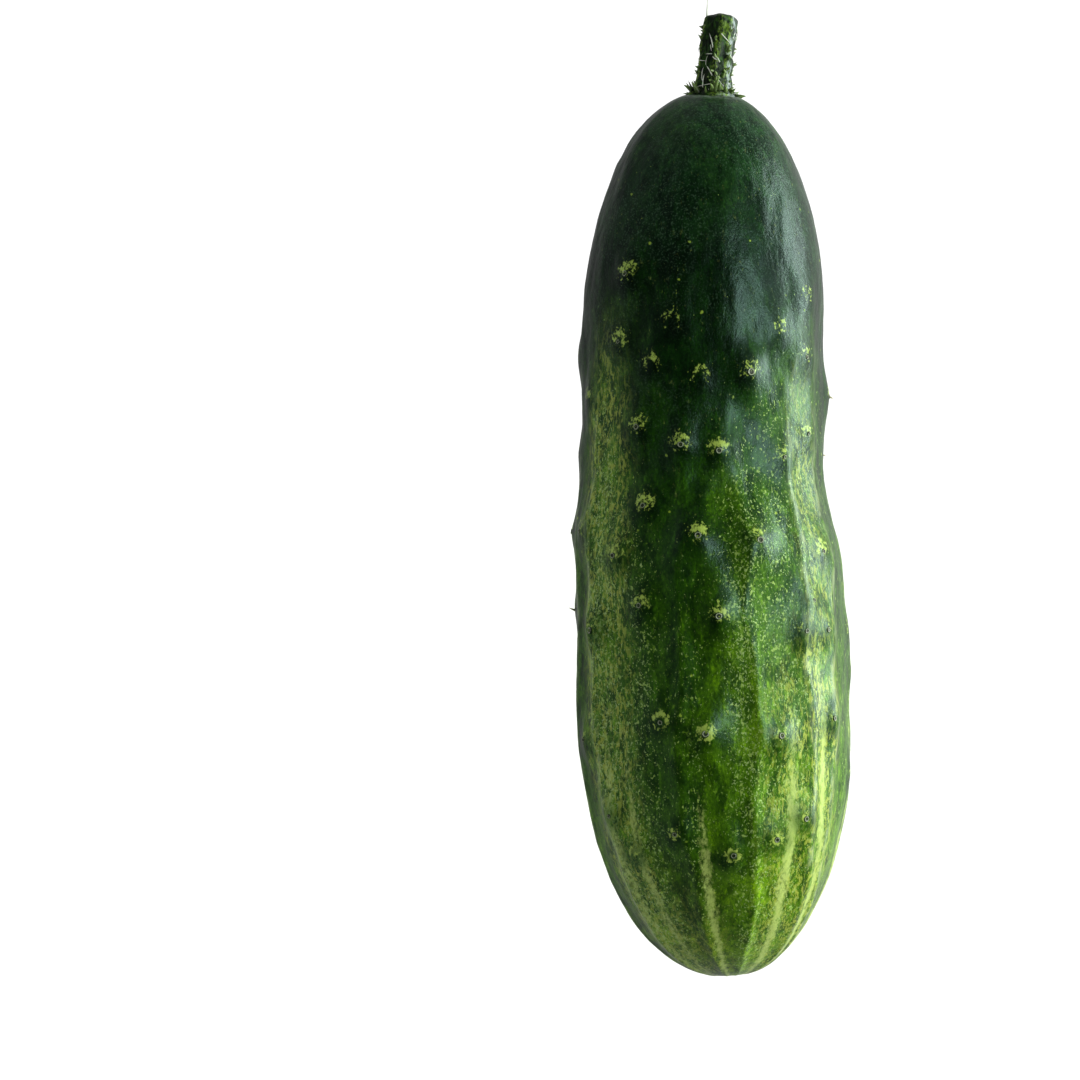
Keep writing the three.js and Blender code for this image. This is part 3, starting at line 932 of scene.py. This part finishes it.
def cork_material():
    """The dull brown cork of the blossom scar."""
    t = new_material("blossom_scar")
    shade = t.step(t.noise(0.4, 1.0, 3.0), 0.3, 0.7)
    t.set(Base_Color=t.mix(shade, DARK_CORK, CORK), Roughness=0.8)
    t.set(Normal=t.bump(t.noise(0.16), 0.03, 0.5))
    return t.owner


def spike_material(name, base, tip):
    """Coloured at the base, and pale and a little clear at the tip."""
    t = new_material(name)
    share = t.stray(t.attribute("tip"), t.noise(0.4), 0.3)
    t.set(Base_Color=t.ramp(share, (0.1, base), (0.75, tip)), Roughness=0.4)
    t.set(Subsurface_Weight=0.15, Subsurface_Scale=0.0004, Subsurface_Radius=(0.5, 1.0, 0.4))
    return t.owner


def stem_material():
    """Nearly black between the ribs and yellow-green on them, with pale dry fibre streaks at the foot and a
    painted sheen of pale streaks down the front.
    """
    t = new_material("stem_flesh")
    strings = t.step(t.noise(0.32, 4.0, 4.0, 0.7), 0.42, 0.62)
    patches = t.step(t.noise(0.9, 1.6, 4.0, 0.65), 0.50, 0.60)
    base = t.mix(strings, STEM_BLACK, STEM_STRING)
    base = t.paint(base, patches, 0.7, STEM_PATCH)
    crest = t.times(t.step(t.attribute("rib"), 0.60, 1.0), t.step(t.noise(0.6, 1.8, 4.0, 0.7), 0.44, 0.58))
    base = t.paint(base, crest, 0.9, STEM_CREST)
    fibre_and_sheen_streaks = t.step(t.noise(0.5, 2.4, 4.0, 0.7), 0.42, 0.54)
    side = t.attribute("side")
    # painted sheen: pale streaks on the front of the stem, standing in for a highlight
    sheen = t.times(t.step(side, 0.20, 0.45), t.step(side, 0.9, 0.7))
    sheen = t.times(sheen, t.step(t.noise(2.5, 1.5, 2.0), 0.36, 0.52))
    dry = t.times(t.step(t.attribute("height"), 2.6, 0.4), t.step(side, -0.6, 0.4))
    grey = t.math("ADD", t.times(dry, 0.6), t.times(sheen, 0.8), clamp=True)
    base = t.mix(t.times(fibre_and_sheen_streaks, grey), base, STEM_FIBRE_AND_SHEEN)
    cut = t.mix(t.step(t.noise(0.5, 1.0, 3.0), 0.4, 0.6), CUT_DARK, CUT_GREEN)
    base = t.mix(t.attribute("cut"), base, cut)
    t.set(Base_Color=base, Roughness=0.42, Specular_IOR_Level=0.3, Specular_Tint=(0.8, 1.0, 0.9, 1))
    t.set(Normal=t.bump(t.noise(0.30, 2.2, 4.0, 0.7), 0.25, 0.8))
    return t.owner


def dress(piece, material):
    piece.data.materials.append(material)


# ---------------------------------------------------------------- stage, light and camera

def make_camera():
    tilt = math.radians(CAMERA_TILT)
    back = Vector((0, math.sin(tilt), math.cos(tilt)))
    up = Vector((1, 0, 0))
    up.rotate(Matrix.Rotation(math.radians(CAMERA_ROLL), 3, back))
    right = up.cross(back)
    low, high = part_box("fruit")
    fruit_middle = Vector(((low.x + high.x) / 2, 0, (high.z - low.z) / 2))
    target = fruit_middle + up * AIM_ABOVE * MM - right * AIM_LEFT * MM
    data = bpy.data.cameras.new("camera")
    data.sensor_width = SENSOR
    data.lens = SENSOR * CAMERA_DISTANCE / FRAME_WIDTH
    camera = bpy.data.objects.new("camera", data)
    bpy.context.scene.collection.objects.link(camera)
    turn = Matrix((right, up, back)).transposed().to_4x4()
    camera.matrix_world = Matrix.Translation(target + back * CAMERA_DISTANCE * MM) @ turn
    bpy.context.scene.camera = camera


def softbox(objects, name, direction, elevation, distance, width, height, radiance, mirrored):
    """An area light that faces the fruit. These objects alone are lit by it and cast shadows in it."""
    data = bpy.data.lights.new(name, "AREA")
    data.shape = "RECTANGLE"
    data.size = width
    data.size_y = height
    data.energy = radiance * math.pi * width * height
    light = bpy.data.objects.new(name, data)
    bpy.context.scene.collection.objects.link(light)
    a = math.radians(direction)
    e = math.radians(elevation)
    light.location = distance * Vector((math.cos(a) * math.cos(e), math.sin(a) * math.cos(e), math.sin(e)))
    light.rotation_euler = light.location.to_track_quat("Z", "Y").to_euler()
    light.visible_camera = False
    light.visible_glossy = mirrored
    lit = bpy.data.collections.new("lit_by_" + name)
    for o in objects:
        lit.objects.link(o)
    light.light_linking.receiver_collection = lit
    light.light_linking.blocker_collection = lit


def make_world():
    """Soft room light, darkest overhead and brighter at the front, and a pale backdrop behind everything."""
    world = bpy.data.worlds.new("studio")
    bpy.context.scene.world = world
    t = Tree(world)
    _, depth, height = t.split(t.nodes.new("ShaderNodeTexCoord").outputs["Generated"])
    by_height = t.ramp(t.math("MULTIPLY_ADD", height, 0.5, 0.5), *[(at, (v, v, v)) for at, v in ROOM_HEIGHTS])
    by_depth = t.ramp(t.math("MULTIPLY_ADD", depth, 0.5, 0.5), *[(at, (v, v, v)) for at, v in ROOM_DEPTHS])
    room = t.mix(1.0, by_height, by_depth, "MULTIPLY")
    seen = t.nodes.new("ShaderNodeLightPath").outputs["Is Camera Ray"]
    background = t.nodes["Background"]
    t.plug(background.inputs["Color"], t.mix(seen, room, (BACKDROP / ROOM_FRONT,) * 3))
    t.plug(background.inputs["Strength"], ROOM_FRONT)


def make_floor():
    mesh = bpy.data.meshes.new("floor")
    s = FLOOR_SIZE / 2
    mesh.from_pydata([(-s, -s, 0), (s, -s, 0), (s, s, 0), (-s, s, 0)], [], [(0, 1, 2, 3)])
    floor = bpy.data.objects.new("floor", mesh)
    bpy.context.scene.collection.objects.link(floor)
    floor.visible_glossy = False
    t = new_material("floor")
    t.set(Base_Color=(0.88, 0.88, 0.88), Roughness=0.9)
    dress(floor, t.owner)
    return floor


make_camera()
SHIFT = find_shift()
dress(make_fruit(), skin_material())
dress(make_wart_scars(), scar_material())
dress(make_wart_spines(), spike_material("wart_spine", *SPINE_COLOURS))
dress(make_blossom_scar(), cork_material())
dress(make_stem(), stem_material())
prickly = spike_material("stem_prickle", *PRICKLE_COLOURS)
for growth in (
    ("stem_prickles", PRICKLES, PRICKLE_LENGTH, PRICKLE_RADIUS, PRICKLE_SPAN, PRICKLE_LIFT, True),
    ("stem_spurs", SPURS, SPUR_LENGTH, SPUR_RADIUS, SPUR_SPAN, SPUR_LIFT, False),
):
    dress(stem_growth(*growth), prickly)
dress(make_hairs(), spike_material("stem_hair", *HAIR_COLOURS))
part = [o for o in bpy.context.scene.objects if o.type == "MESH"]
floor = make_floor()
make_world()
for light in PART_LIGHTS:
    softbox(part, *light)
softbox([floor], *FLOOR_LIGHT)
bpy.context.scene.view_settings.view_transform = "Standard"
